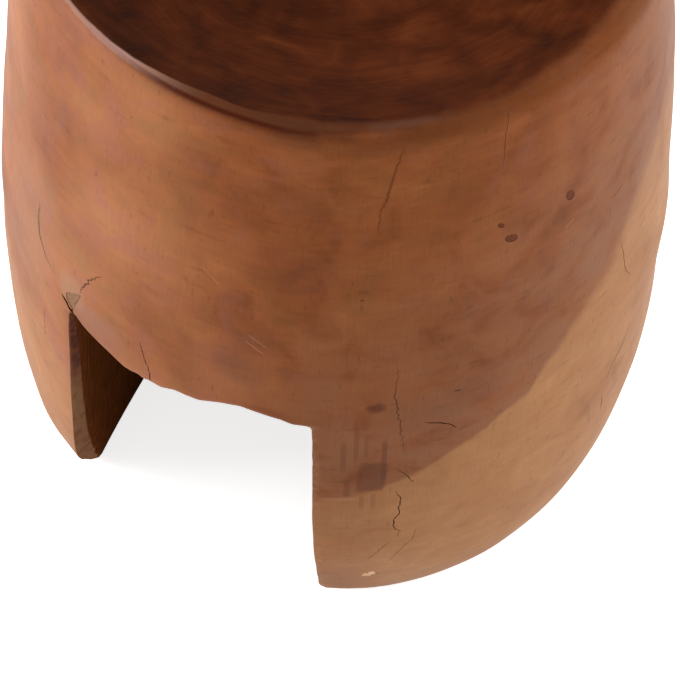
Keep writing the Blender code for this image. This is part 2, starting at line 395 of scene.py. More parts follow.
def bendNet(places):  # brings the plain net close to the chopped ceiling, the rim and the dish
    ceiling, height = body["ceiling"], body["height"]
    x, y, z = places.T.copy()
    ends = [float(channelReach(side, atMouth, ceiling)) for side in ("left", "right")]
    away = np.maximum(-ends[0] - x, x - ends[1]) / body["seamBlend"]
    level = blendTo(ceilingHeight(x, y), ceiling, away)  # seam between the wall below and the wall above
    below, above = z / ceiling, (z - ceiling) / (height - ceiling)
    places[:, 2] = np.where(above > 0, level + above * (height - level), below * level)
    flat = rimFlat(np.degrees(np.arctan2(x, -y))) / 1000
    flat = flat * np.exp(-((height - places[:, 2]) / body["flatDrop"]) ** 2)
    places[:, :2] *= (1 - flat / body["rimRadius"])[:, None]
    inDish = (np.hypot(*places.T[:2]) < body["rimRadius"]) & (places[:, 2] > height - closeEnough)
    share = np.hypot(*places[inDish].T[:2]) / (body["rimRadius"] - body["lipWidth"])
    places[inDish, 2] -= body["dishDepth"] * np.clip(1 - share ** 2, 0, 1)
    return places


def closedMesh(name, points, faces):  # a mesh with all its faces turned outwards
    mesh = bpy.data.meshes.new(name)
    mesh.from_pydata([tuple(p) for p in points], [], faces)
    shape = bmesh.new()
    shape.from_mesh(mesh)
    bmesh.ops.recalc_face_normals(shape, faces=shape.faces)
    shape.to_mesh(mesh)
    shape.free()
    return mesh


def makeBody():
    net = {"points": [], "faces": []}
    legWall, inner = addLegs(net)
    roof = addCeiling(net, inner)
    rim, columns = addBarrel(net, legWall, roof)
    addDish(net, rim, columns)
    addSoles(net, legWall, inner)
    mesh = closedMesh("carvedBody", settle(bendNet(np.array(net["points"]))), net["faces"])
    unfold(mesh)
    piece = bpy.data.objects.new("carved_body", mesh)
    scene.collection.objects.link(piece)
    return piece


stool = makeBody()
print("body:", len(stool.data.vertices), "points,", len(stool.data.polygons), "faces")


def linear(code):  # sRGB hex to a linear colour
    parts = [int(code[i:i + 2], 16) / 255 for i in (1, 3, 5)]
    return (*(c / 12.92 if c <= 0.04045 else ((c + 0.055) / 1.055) ** 2.4 for c in parts), 1)


def addNode(tree, kind, sockets=(), out=0, stops=(), **settings):  # sockets by number or by name
    made = tree.nodes.new("ShaderNode" + kind)
    for place, code in stops[2:]:
        made.color_ramp.elements.new(place)
    for element, (place, code) in zip(made.color_ramp.elements if stops else (), stops):
        element.position, element.color = place, linear(code)
    for name, value in settings.items():
        setattr(made, name, value)
    for name, value in sockets.items() if isinstance(sockets, dict) else enumerate(sockets):
        if isinstance(value, bpy.types.NodeSocket):
            tree.links.new(value, made.inputs[name])
        else:
            made.inputs[name].default_value = linear(value) if isinstance(value, str) else value
    return made.outputs[out] if len(made.outputs) else None


# zones of the body by degrees from the front
zones = {
    # lower edge of the heartwood colour in mm up, how softly it ends in mm, and the mauve tinge above it
    "sapLine": ((-180, 120), (-150, 95), (-110, 150), (-62, 172), (-45, 162), (-30, 148), (-22, 138),
                (-15, 90), (0, 60), (22, 120), (28, 129), (33, 132), (44, 148), (50, 162), (55, 169),
                (59, 179), (64, 185), (66, 198), (75, 225), (82, 240), (88, 262), (94, 283),
                (103, 302), (120, 300), (140, 240), (160, 170), (180, 120)),
    "sapSoft": ((-180, 20), (-110, 26), (-60, 30), (-22, 24), (0, 6), (30, 2.6), (58, 3), (64, 5), (72, 9),
                (80, 14), (90, 22), (105, 28), (180, 20)),
    "sapStain": ((-180, 0.3), (-60, 0), (15, 0.3), (27, 0.9), (45, 0.95), (60, 1), (100, 1),
                 (130, 0.5), (180, 0.3)),
    "sapShare": ((-180, 0.9), (-100, 0.9), (-60, 0.7), (-20, 0.6), (25, 0.5), (33, 0.62),
                 (42, 0.95), (180, 0.9)),
    # paler, away from the dark front
    "paleShare": ((-180, 0.3), (-120, 0.3), (-60, 0.12), (-42, 0.36), (-28, 0.72), (-14, 0.97), (0, 0.62),
                  (10, 0.25), (20, 0), (90, 0), (180, 0.3)),
    # radius of the dark polished seat, and how far it takes to fade, in mm
    "seatDark": ((-180, 151), (-120, 154), (-60, 155.5), (-30, 154.6), (-12, 152.6), (-5, 151), (3, 149.3),
                 (11, 150.8), (21, 149), (26, 152), (31, 150.6), (42, 150), (50, 152), (60, 152), (75, 150),
                 (150, 148), (180, 151)),
    "seatFade": ((-180, 4), (-120, 1), (-60, 0.7), (10, 0.7), (15, 1.6), (21, 3.6), (30, 3.6), (42, 3.2),
                 (50, 4), (60, 5), (75, 6), (150, 6), (180, 4)),
    # strength of the lip's colours, the pale one a painted highlight on its top, and of the dark band under
    # it
    "lipHighlight": ((-180, 0.2), (-90, 0.6), (-35, 0.95), (-13, 1), (-9, 0.6), (-5, 0.3), (1, 0.05), (4, 0),
                (32, 0), (36, 0.07), (44, 0.07), (50, 0), (150, 0), (180, 0.2)),
    "lipBrown": ((-180, 0), (-16, 0), (-8, 0.5), (-2, 0.9), (22, 0.9), (48, 0.85), (58, 0.4),
                 (66, 0), (180, 0)),
    "rimShade": ((-180, 0), (-25, 0), (-8, 0.3), (10, 0.6), (24, 0.95), (44, 0.9), (60, 0.6), (100, 0.5),
                 (150, 0.3), (180, 0)),
}
# where the zones start and how far they reach, in mm
zoneSizes = {
    "seatFrom": 375, "rimFrom": 140,  # height of the seat, radius of the rim
    "lipDown": 1.2, "lipIn": 12, "lipInFade": 3, "lipStart": 1.3,  # a start over 1 stays full for a while
    "paleLevel": 280, "paleLean": 14,  # mm up for each degree that the pale zone's edge leans
    "stainRise": 210, "stainBelow": 40,
    "hollowIn": 14, "hollowTop": 215, "hollowSkin": 1.8, "hollowDeep": 80, "roofTop": 300,
    "bevelSkin": 1.1, "bevelTop": 200, "bevelFoot": 1, "edgeHighlight": 3, "shadeDrop": 16,
    "grooveDepth": 0.7, "grooveIn": 2.8, "grooveInFade": 0.8, "grooveDown": 2.4, "grooveStart": 1.5,
    "dryFrom": 3.6, "bevelWeight": 9,  # faces this deep in are dry, and the bevel counts as this deep
    "offSeat": -9, "sapReach": 4,  # limits of two masks
}


def zoneMarks(points):  # masks and distances that the wood's nodes turn into colour
    size = zoneSizes
    x, y, z = points.T * 1000
    turn, out = np.degrees(np.arctan2(x, -y)), np.hypot(x, y)
    wall, top, sole, sides, roof = (face * 1000 for face in bodyFaces(points))
    hollow = np.maximum(sides, roof)
    nearest = np.sort([wall, top, sole, -hollow], axis=0)[-2]
    byTurn = {name: np.interp(turn, *zip(*table)) for name, table in zones.items()}
    leaning = turn + (z - size["paleLevel"]) / size["paleLean"]
    drop = body["height"] * 1000 - z
    above = z - byTurn["sapLine"]
    high = z > size["seatFrom"]
    lip = np.clip(size["lipStart"] + np.minimum(top, 0) / size["lipDown"], 0, 1) * high
    lip = lip * np.clip((size["lipIn"] + wall) / size["lipInFade"], 0, 1)
    inside = (-wall > size["hollowIn"]) & (z < size["hollowTop"])
    inside = np.where(inside, 1, np.clip(size["hollowSkin"] - abs(hollow), 0, 1)) * (z < size["roofTop"])
    atFront = (x < 0) * (y < 0) * (z < size["bevelTop"]) * (z > size["bevelFoot"])
    groove = np.clip((wall + size["grooveIn"]) / size["grooveInFade"], 0, 1) * high
    groove = groove * np.clip(size["grooveStart"] - drop / size["grooveDown"], 0, 1)
    stained = np.clip(1 - above / size["stainRise"], 0, 1) * (above > -size["stainBelow"])
    shaded = np.clip(1 - drop / size["shadeDrop"], 0, 1) * (out > size["rimFrom"]) * high
    return {
        "seat": np.where(high, (byTurn["seatDark"] - out) / byTurn["seatFade"], size["offSeat"]),
        "sapwood": np.clip(-above / byTurn["sapSoft"], -size["sapReach"], size["sapReach"]),
        "sapShare": byTurn["sapShare"],
        "pale": np.interp(leaning, *zip(*zones["paleShare"])),
        "stained": byTurn["sapStain"] * stained,
        "hollow": inside * np.clip(-wall, 0, size["hollowDeep"]),
        "bevel": np.clip(np.minimum(-wall, hollow) / size["bevelSkin"], 0, 1) * atFront,
        # painted highlight along the edges
        "edge": np.clip(1 + nearest / size["edgeHighlight"], 0, 1),
        "rimShade": byTurn["rimShade"] * shaded,
        # painted highlight on the lip's top
        "lip": lip * byTurn["lipHighlight"],
        "lipBrown": lip * byTurn["lipBrown"],
        # dark band under the lip: dark patina, with painted shade of the overhang
        "groove": lipGroove(turn) / size["grooveDepth"] * groove,
    }


def markZones(piece):
    places = np.zeros(len(piece.data.vertices) * 3, np.float32)
    piece.data.vertices.foreach_get("co", places)
    marks = zoneMarks(places.reshape(-1, 3).astype(float))
    for name, values in marks.items():
        layer = piece.data.attributes.new(name, "FLOAT", "POINT")
        layer.data.foreach_set("value", values.astype(np.float32))
    faces = piece.data.polygons
    starts, counts, kinds = (np.zeros(len(faces), int) for _ in range(3))
    corners = np.zeros(len(piece.data.loops), int)
    faces.foreach_get("loop_start", starts)
    faces.foreach_get("loop_total", counts)
    faces.foreach_get("material_index", kinds)
    piece.data.loops.foreach_get("vertex_index", corners)
    depth = np.maximum(marks["bevel"] * zoneSizes["bevelWeight"], marks["hollow"])
    depth = np.add.reduceat(depth[corners], starts) / counts
    kinds[(kinds == 0) & (depth > zoneSizes["dryFrom"])] = piece.data.materials.find(channelFinish.name)
    faces.foreach_set("material_index", kinds)


wood = {
    # colour ramps from dark to pale wood
    "heart": ((0.30, "#6A3518"), (0.46, "#8A4B25"), (0.58, "#9A582E"), (0.72, "#B27043")),
    "sap": ((0.30, "#93603A"), (0.48, "#A8734A"), (0.60, "#B17D52"), (0.74, "#BE8D61")),
    "polish": ((0.30, "#2C0E03"), (0.44, "#3F1704"), (0.56, "#4C1F08"), (0.72, "#602C11")),
    "inside": ((0.30, "#552F17"), (0.55, "#6E3B1C"), (0.75, "#844C2A")),
    "paleWood": ((0.34, "#BA8861"), (0.5, "#C3865F"), (0.66, "#BC7E66")),
    # what each ramp follows
    "rampAlong": {"heart": "tone", "sap": "tone", "polish": "seatTone", "inside": "fibre", "paleWood": "hue"},
    # noises: stretch along x, y and z, size in mm, detail, roughness, distortion
    "noises": {
        "fibre": ((1, 1, 0.045), 1.1, 3, 0.6, 0),
        "band": ((0.14, 0.14, 1), 5.5, 3, 0.6, 0.5),
        "patch": ((1, 1, 1), 24, 3, 0.5, 0.6),
        "broad": ((1, 1, 1), 95, 1, 0.5, 0),
        "hue": ((1, 1, 1), 30, 2, 0.5, 0.8),
        "wobble": ((1, 1, 1), 48, 2, 0.5, 0),
        "border": ((1, 1, 1), 9, 3, 0.5, 0),
        "flake": ((1, 1, 1), 8, 3, 0.5, 0),
        "ragged": ((1, 1, 1), 3, 2, 0.5, 0),
        "pore": ((1, 1, 0.3), 2.2, 2, 0.5, 0),
        "dash": ((0.2, 0.2, 1), 3.2, 2, 0.5, 0),
    },
    "ring": (3.4, 16, 3, 0.6),  # width and wobble in mm, detail, roughness
    # scratches: slant in degrees, length and width in mm, detail
    "scratch": (-38, 7, 0.28, 1), "rubbed": (28, 9, 0.7, 2),
    # how much each noise counts in the tone of the wall and of the seat, which is paler towards +X
    "tone": (("broad", 0.34), ("patch", 0.42), ("band", 0.16), ("ring", 0.08)),
    "seatTone": (("band", 0.24), ("patch", 0.6), ("ring", 0.16), ("x", 0.0005)),
    # borders that the noise makes uneven: what they follow, and by how much
    "borders": {
        "sapPlace": ("sapwood", 0.9), "seatPlace": ("seat", 1.2),
        "bevelPlace": ("z", 30), "deepPlace": ("hollow", 2),
    },
    # shares that rise smoothly: what they follow, where they start and are full, how strong they are
    "shares": {
        "seatShare": ("seatPlace", -0.4, 1.6, 1), "insideShare": ("deepPlace", 2, 6, 1),
        "grime": ("radius", 105, 140, 0.07),  # darkens the seat towards the rim
        "poreDark": ("pore", 0.62, 0.78, 0.22), "dashDark": ("dash", 0.60, 0.76, 0.15),
        "scratchPale": ("scratch", 0.66, 0.8, 0.25), "scratchZone": ("patch", 0.5, 0.65, 1),
    },
    # coats of colour: mask, pattern, where it starts and where it is full, strength, colour
    "clouds": (
        (None, "hue", 0.50, 0.72, 0.38, "#8A5440"),  # mauve
        (None, "hue", 0.48, 0.28, 0.38, "#7E4B26"),  # olive
        ("pale", "broad", 0.1, 0.8, 0.85, "paleWood"),
        ("stained", "patch", 0.2, 0.7, 0.92, "#8A5C40"),
        ("sapShare", "sapPlace", -0.4, 1.3, 1, "sap"),
    ),
    "seatCoats": ((None, "rubbed", 0.56, 0.78, 0.32, "#5F3A22"),),  # fine dull scratches in the polish
    "bevelBase": "#9D7356",
    "bevelCoats": (
        (None, "bevelPlace", 130, 180, 1, "#603A33"),  # darker higher up
        (None, "flake", 0.5, 0.58, 0.6, "#8A5036"),
    ),
    # real wear and patina, mixed with painted highlights and painted shade
    "wearAndPaintedLight": (
        ("edge", "ragged", 0.35, 0.65, 0.4, "#BC8C70"),  # painted highlight along the edges, where the bevels catch the light
        ("rimShade", "patch", 0.2, 0.6, 0.9, "#502A1A"),
        ("lipBrown", None, 0, 0, 0.9, "#4A2616"),
        # painted highlight on the lip's top
        ("lip", None, 0, 0, 0.9, "#A98276"),
        # dark band under the lip: dark patina, with painted shade of the overhang
        ("groove", "ragged", 0.1, 0.4, 0.95, "#471A0C"),
        ("seatShare", None, 0, 0, 1, "polish"),
        ("bevel", "ragged", 0.1, 0.5, 0.95, "bevelWood"),
        # dry wood of the channel, darkened inwards by painted shade
        ("insideShare", None, 0, 0, 1, "inside"),
    ),
    "fibreSpan": (0.3, 0.7), "fibreShade": (0.93, 1.06), "grainShare": 0.6,
    "wallGloss": (0.42, 0.56), "seatGloss": (0.22, 0.42), "insideGloss": 0.8,
    "insideShade": (10, 75, 1, 0.3),  # painted shade deepening into the channel: from and to this many mm in, and the brightness at both
    "grainHeight": 0.0003, "grainStrength": 0.35, "sheenColour": "#FFD2A8",
}
# marks on the wall: degrees, mm up, half width, half height, tilt in degrees, strength, softness, colour
stains = (
    (35.9, 149, 7.6, 13, 4, 0.62, 0, "#60311F"), (30.9, 168, 1.5, 13, 0, 0.4, 0.4, "#653822"),
    (33.0, 179, 1.3, 14, 0, 0.4, 0.4, "#653822"), (34.7, 177, 1.1, 10, 0, 0.3, 0.4, "#653822"),
    (37.8, 162, 1.4, 19, 0, 0.5, 0.2, "#5E321E"), (31.7, 140, 1.6, 8, 0, 0.4, 0.3, "#653822"),
    (34.3, 126, 1.2, 6, 0, 0.35, 0.4, "#7A4C34"), (36.3, 126, 1.2, 7, 0, 0.35, 0.4, "#7A4C34"),
    (36.0, 211.5, 4.2, 3.2, -20, 0.75, 0.7, "#55291A"), (49.9, 214.3, 1.9, 0.8, 15, 0.8, 0.2, "#4A2216"),
    (30.3, 129.7, 10, 1.3, 0, 0.25, 0.5, "#B98560"), (36.6, 37.4, 2.6, 2.2, 12, 0.9, 0, "#E2B48A"),
    (37.5, 39.4, 1.6, 2.6, -20, 0.85, 0, "#EBC29C"), (38.6, 37.6, 0.7, 0.9, 0, 0.7, 0.2, "#6A3A22"),
    (7.2, 301.5, 0.35, 6.5, -45, 0.34, 0, "#C58A62"), (15.4, 254.4, 0.35, 6.3, -51, 0.42, 0, "#C58A62"),
    (15.8, 260.1, 0.35, 6, -51, 0.34, 0, "#C58A62"), (24.9, 306.9, 2.4, 1.8, 0, 0.35, 0.5, "#673A22"),
    (33.1, 306, 2.8, 1.5, 0, 0.4, 0.4, "#633720"), (32.9, 300, 0.9, 0.9, 0, 0.7, 0.2, "#512A18"),
    (12.7, 233.5, 12, 9, 20, 0.35, 0.8, "#6E4434"), (-15, 211, 15, 9, 14, 0.5, 0.9, "#98695C"),
    (48, 205, 26, 12, -20, 0.3, 0.9, "#71452F"), (-36, 230, 20, 46, 12, 0.3, 0.9, "#9C7560"),
    (-22.2, 103, 0.9, 5.5, 0, 0.8, 0.3, "#C0744A"), (71, 308, 0.4, 3.2, 66, 0.36, 0, "#C08F68"),
    (87.5, 128, 2.2, 17, -12, 0.35, 0.5, "#8A5D3C"), (80, 118, 1.5, 14, -14, 0.35, 0.5, "#8A5D3C"),
    (-21.5, 222, 8, 10, 0, 0.5, 0.9, "#A47C66"), (21, 318, 20, 14, 10, 0.3, 0.9, "#6B3420"),
    (21, 372, 30, 10, 0, 0.3, 0.9, "#6A3A22"),
)
stainEdge = {"ragged": 1.1, "outer": 2.1, "inner": 0.9, "softer": 0.6, "roundFrom": 0.6, "onWall": 140}
masks = ("seat", "sapwood", "sapShare", "pale", "stained", "hollow",
         "bevel", "edge", "rimShade", "lip", "lipBrown", "groove")
smooth = {"interpolation_type": "SMOOTHSTEP"}


def woodPatterns(add):  # everything the colours of the wood follow, by name
    mm = add("VectorMath", {0: add("TexCoord", out="Object"), "Scale": 1000}, operation="SCALE")
    flat = add("VectorMath", (mm, (1, 1, 0)), operation="MULTIPLY")
    x, y, z = add("SeparateXYZ", (mm,), out=slice(None))
    turn = add("Math", (x, add("Math", (y, -1), operation="MULTIPLY")), operation="ARCTAN2")
    along = add("Math", (turn, body["bellyRadius"] * 1000), operation="MULTIPLY")
    use = {"x": x, "z": z, "wallPlace": add("CombineXYZ", (along, z))}
    use["radius"] = add("VectorMath", (flat,), out="Value", operation="LENGTH")
    for name in masks:
        use[name] = add("Attribute", out="Fac", attribute_name=name)
    for name, (stretch, size, *look) in wood["noises"].items():
        place = add("VectorMath", (mm, stretch), operation="MULTIPLY")
        look = dict(zip(("Detail", "Roughness", "Distortion"), look))
        use[name] = add("TexNoise", {"Vector": place, "Scale": 1 / size, **look})
    for name, place in (("scratch", use["wallPlace"]), ("rubbed", flat)):
        slant, length, width, detail = wood[name]
        turned = {0: place, "Rotation": (0, 0, math.radians(slant)), "Scale": (length, width, 1)}
        place = add("Mapping", turned, vector_type="TEXTURE")
        use[name] = add("TexNoise", {"Vector": place, "Scale": 1, "Detail": detail})
    width, wobble, detail, roughness = wood["ring"]
    place = add("Math", (use["wobble"], wobble, use["radius"]), operation="MULTIPLY_ADD")
    rings = {"W": place, "Scale": 1 / width, "Detail": detail, "Roughness": roughness}
    use["ring"] = add("TexNoise", rings, noise_dimensions="1D")
    for name, (follows, jag) in wood["borders"].items():
        use[name] = add("Math", (use["border"], jag, use[follows]), operation="MULTIPLY_ADD")
    for name, (follows, start, full, strength) in wood["shares"].items():
        use[name] = add("MapRange", (use[follows], start, full, 0, strength), **smooth)
    for tone in ("tone", "seatTone"):
        use[tone] = 0
        for name, share in wood[tone]:
            use[tone] = add("Math", (use[name], share, use[tone]), operation="MULTIPLY_ADD")
    use["seatTone"] = add("Math", (use["seatTone"], use["grime"]), operation="SUBTRACT")
    use["dark"] = add("Math", (use["poreDark"], use["dashDark"]), operation="ADD")
    return use


# each coat shows where its mask and its pattern let it, and a Mix node takes its colours at 6 and 7
def layCoats(add, use, colour, coats):
    for mask, pattern, start, full, strength, paint in coats:
        share = strength
        if pattern:
            share = add("MapRange", (use[pattern], start, full, 0, strength), **smooth)
        if mask:
            share = add("Math", (use[mask], share), operation="MULTIPLY")
        colour = add("Mix", {0: share, 6: colour, 7: use.get(paint, paint)}, out=2, data_type="RGBA")
    return colour


def layStains(add, use, colour):  # blotches with ragged edges, round where soft and squarish where crisp
    onWall = add("Math", (use["radius"], stainEdge["onWall"]), operation="GREATER_THAN")
    for degrees, up, wide, tall, tilt, strength, soft, code in stains:
        centre = (math.radians(degrees) * body["bellyRadius"] * 1000, up, 0)
        spot = {"Location": centre, "Rotation": (0, 0, math.radians(-tilt)), "Scale": (wide, tall, 1)}
        local = add("Mapping", {0: use["wallPlace"], **spot}, vector_type="TEXTURE")
        for _ in range(1 if soft > stainEdge["roundFrom"] else 2):
            local = add("VectorMath", (local, local), operation="MULTIPLY")
        far = add("VectorMath", (local,), out="Value", operation="LENGTH")
        far = add("Math", (use["ragged"], stainEdge["ragged"], far), operation="MULTIPLY_ADD")
        ends = stainEdge["outer"] + soft, stainEdge["inner"] - stainEdge["softer"] * soft
        share = add("MapRange", (far, *ends, 0, strength), **smooth)
        share = add("Math", (share, onWall), operation="MULTIPLY")
        colour = add("Mix", {0: share, 6: colour, 7: code}, out=2, data_type="RGBA")
    return colour


def woodColour(add, use):
    for ramp, follows in wood["rampAlong"].items():
        use[ramp] = add("ValToRGB", (use[follows],), stops=wood[ramp])
    use["polish"] = layCoats(add, use, use["polish"], wood["seatCoats"])
    use["bevelWood"] = layCoats(add, use, wood["bevelBase"], wood["bevelCoats"])
    # painted shade: the channel's wood darkens the deeper it lies
    dim = add("MapRange", (use["hollow"], *wood["insideShade"]))
    use["inside"] = add("VectorMath", {0: use["inside"], "Scale": dim}, operation="SCALE")
    colour = layCoats(add, use, use["heart"], wood["clouds"])
    # fibre, pores and dashes darken the wall, fine scratches lighten it
    scratch = add("Math", (use["scratchPale"], use["scratchZone"]), operation="MULTIPLY")
    shade = add("MapRange", (use["fibre"], *wood["fibreSpan"], *wood["fibreShade"]))
    shade = add("Math", (shade, use["dark"]), operation="SUBTRACT")
    shade = add("Math", (shade, scratch), operation="ADD")
    colour = add("VectorMath", {0: colour, "Scale": shade}, operation="SCALE")
    return layCoats(add, use, layStains(add, use, colour), wood["wearAndPaintedLight"])


def newFinish(name, sheen):  # a material with the warm low sheen of oiled or dry wood
    material = bpy.data.materials.new(name)
    material.use_nodes = True
    shader = material.node_tree.nodes["Principled BSDF"]
    shader.inputs["Specular IOR Level"].default_value = sheen
    shader.inputs["Specular Tint"].default_value = linear(wood["sheenColour"])
    return material, shader.inputs


def makeWood(name, sheen):  # dense tropical hardwood, adzed and handled: cloudy colour, fine pores
    material, inputs = newFinish(name, sheen)
    tree = material.node_tree
    add = partial(addNode, tree)
    use = woodPatterns(add)
    tree.links.new(woodColour(add, use), inputs["Base Color"])
    # the seat is polished by use, the channel is dry
    gloss = add("MapRange", (use["fibre"], *wood["fibreSpan"], *wood["wallGloss"]))
    seatGloss = add("MapRange", (use["patch"], 0, 1, *wood["seatGloss"]))
    gloss = add("Mix", {0: use["seatShare"], 2: gloss, 3: seatGloss}, data_type="FLOAT")
    gloss = add("Mix", {0: use["insideShare"], 2: gloss, 3: wood["insideGloss"]}, data_type="FLOAT")
    tree.links.new(gloss, inputs["Roughness"])
    relief = add("Math", (use["band"], wood["grainShare"]), operation="MULTIPLY")
    relief = add("Math", (use["fibre"], wood["grainShare"], relief), operation="MULTIPLY_ADD")
    relief = add("Math", (relief, use["dark"]), operation="SUBTRACT")
    grain = {"Height": relief, "Strength": wood["grainStrength"], "Distance": wood["grainHeight"]}
    tree.links.new(add("Bump", grain), inputs["Normal"])
    return material


plainLook = {"sheen": 0.05, "detail": 4, "mottle": 0.6, "glossSpread": 0.1, "grainStrength": 0.5}


def makePlain(name, stops, size, roughness, bump):  # small pieces: mottled, with a grain to match, in mm
    material, inputs = newFinish(name, plainLook["sheen"])
    tree = material.node_tree
    add = partial(addNode, tree)
    mm = add("VectorMath", (add("TexCoord", out="Object"), (1000, 1000, 1000)), operation="MULTIPLY")
    look = {"Detail": plainLook["detail"], "Roughness": plainLook["mottle"]}
    mottle = add("TexNoise", {"Vector": mm, "Scale": 1 / size, **look})
    tree.links.new(add("ValToRGB", (mottle,), stops=stops), inputs["Base Color"])
    dull, glossy = roughness + plainLook["glossSpread"], roughness - plainLook["glossSpread"]
    tree.links.new(add("MapRange", (mottle, 0, 1, glossy, dull)), inputs["Roughness"])
    grain = {"Height": mottle, "Strength": plainLook["grainStrength"], "Distance": bump / 1000}
    tree.links.new(add("Bump", grain), inputs["Normal"])
    return material


woodFinish = makeWood("oiled_hardwood", 0.07)  # low warm sheen of oil and hands
channelFinish = makeWood("dry_hardwood", 0.0)  # the channel was never oiled and stays flat
crackFinishes = {
    # raw torn fibre, dark red-brown
    "torn": makePlain("dry_split_wood", ((0.3, "#2E150B"), (0.7, "#5C3220")), 1.5, 0.85, 0.2),
    # closed up with old oil, soft brown
    "waxed": makePlain("waxed_split", ((0.3, "#7A4426"), (0.7, "#905432")), 1.5, 0.8, 0.2),
    # dirt rubbed into a closed split, grey-brown
    "grimy": makePlain("grimy_split", ((0.3, "#5A3C2C"), (0.7, "#775241")), 1.5, 0.85, 0.2),
    # packed with grey dust and wax
    "dusty": makePlain("dusty_split", ((0.3, "#6E5846"), (0.7, "#947862")), 1.2, 0.9, 0.2),
    # gapes, near black
    "open": makePlain("shadowed_split", ((0.3, "#0C0503"), (0.7, "#241009")), 1.5, 0.9, 0.2),
}
endGrain = ((0.3, "#562917"), (0.5, "#683621"), (0.7, "#7A462F"))
plugFinish = makePlain("dark_end_grain", endGrain, 0.8, 0.55, 0.15)  # hard dark wood, cut across the grain
putty = ((0.3, "#7C5B43"), (0.55, "#8E6B50"), (0.75, "#9C7A5E"))
fillFinish = makePlain("grey_wood_filler", putty, 1.6, 0.8, 0.25)  # dull, rubbed flush
print("finishes ready")

# cracks in the wall: width, depth and sideways jag in mm, finish, and points in degrees and mm up
cracks = (
    (1.5, 0.35, 0.3, "waxed", ((39.6, 419), (39.4, 416.4), (38.8, 407.6), (37.4, 393.2), (36.8, 382),
                               (36.2, 374.2), (35.3, 366.5), (35.0, 346.6))),
    (0.5, 0.3, 0.2, "waxed", ((60, 419), (58, 415.4), (57.3, 401.5), (56.8, 379.8))),
    (0.6, 0.35, 0.4, "grimy", ((39.5, 244), (39, 220.5), (39.7, 205.5), (41.3, 168))),
    (0.6, 4, 0.4, "torn", ((40.2, 134), (41.2, 123.3), (40.8, 116.6), (41.2, 110), (40.4, 104.6), (40.2, 97),
                           (41.4, 90.6), (41.3, 84))),
    (0.4, 2, 0.15, "torn", ((40, 154), (41.8, 148), (43.3, 138))),
    (0.6, 4, 0.3, "torn", ((-5.7, 223), (-4.6, 211.6), (-3.3, 202.6), (-3.0, 192))),
    (1.6, 0.6, 0.2, "dusty", ((-31.7, 260), (-31.9, 247.6), (-31.3, 234.6), (-29, 224), (-25.8, 219.7))),
    (2.2, 7, 0.3, "open", ((-24, 210.4), (-23, 208.7), (-22.2, 206.4), (-21.3, 204.6), (-20.6, 203),
                           (-20.2, 199))),
    (1.0, 0.35, 0.6, "grimy", ((-19.1, 226.2), (-18.6, 231.8), (-17.6, 238.1), (-17.2, 241.9), (-16.2, 247.2),
                               (-15.3, 250.7), (-14.4, 254.9))),
    (0.3, 2, 0.3, "torn", ((-29.7, 178), (-30.2, 149))),
    (0.4, 2, 0.1, "torn", ((85.1, 299.8), (81.8, 297))),
    (0.28, 2, 0.15, "torn", ((36.1, 61), (38, 70.1), (39.9, 80.7))),
    (0.28, 2, 0.25, "torn", ((40, 54), (42.7, 72.7), (44, 77), (44.5, 89.1))),
    (0.8, 1, 0.05, "torn", ((44.3, 193.3), (47.1, 189.8), (49, 186), (50.2, 180.9))),
    (0.35, 2, 0.2, "torn", ((85.5, 252.6), (86.8, 233.2), (87.3, 222.9), (89, 211.1))),
    (0.5, 2, 0.1, "torn", ((91, 162.1), (88.7, 149.5), (86.2, 145), (84.5, 134.5))),
    (0.35, 2, 0.15, "torn", ((84, 119.9), (84.6, 104.7))),
)
crackShape = {
    "step": 0.0016, "fewest": 4,  # length between the points along it, and the fewest of them
    "seed": 5, "proud": 0.0015,  # its cutter stands this far out of the wall
    # shares of the width and depth that are left at its ends, and how far the width varies
    "endWidth": 0.12, "endDepth": 0.3, "uneven": (0.7, 1.3),
}
cutterTop = 0.004  # how far a cutter stands out of the wall
sharpAngle = math.radians(32)


def wallPoint(degrees, up):
    turn, radius = math.radians(degrees), float(wallRadius(up / 1000))
    return (math.sin(turn) * radius, -math.cos(turn) * radius, up / 1000)


def addCutter(group, name, points, faces, finish):
    mesh = closedMesh(name, points, faces)
    mesh.materials.append(finish)
    group.objects.link(bpy.data.objects.new(name, mesh))


def crackWedge(random, width, depth, jag, path):  # a jagged wedge, widest half way along
    corners = np.array([wallPoint(*c) for c in path])
    runs = np.concatenate([[0], np.cumsum(np.linalg.norm(np.diff(corners, axis=0), axis=1))])
    places = np.linspace(0, runs[-1], max(crackShape["fewest"], round(runs[-1] / crackShape["step"])))
    line = settle(np.stack([np.interp(places, runs, c) for c in corners.T], 1), rounds=4)
    outward = fieldSlope(line)
    outward /= np.linalg.norm(outward, axis=1)[:, None]
    sideways = np.cross(np.gradient(line, axis=0), outward)
    sideways /= np.linalg.norm(sideways, axis=1)[:, None]
    line = line + sideways * (random.normal(0, jag, len(line)) / 1000)[:, None]
    swell = np.sin(math.pi * np.linspace(0, 1, len(line)))
    thin, shallow, proud = (crackShape[name] for name in ("endWidth", "endDepth", "proud"))
    uneven = random.uniform(*crackShape["uneven"], len(line))
    wide = width / 1000 * (thin + (1 - thin) * swell ** 0.5) * uneven
    deep = depth / 1000 * (shallow + (1 - shallow) * swell)
    half = sideways * (wide / 2 * (1 + proud / deep))[:, None]
    lifted = line + outward * proud
    points = np.stack([lifted - half, lifted + half, line - outward * deep[:, None]], 1).reshape(-1, 3)
    faces, last = [(0, 1, 2)], 3 * len(line) - 3
    for i in range(0, last, 3):
        faces += [(i, i + 3, i + 4, i + 1), (i + 1, i + 4, i + 5, i + 2), (i + 2, i + 5, i + 3, i)]
    faces.append((last, last + 2, last + 1))
    return points, faces


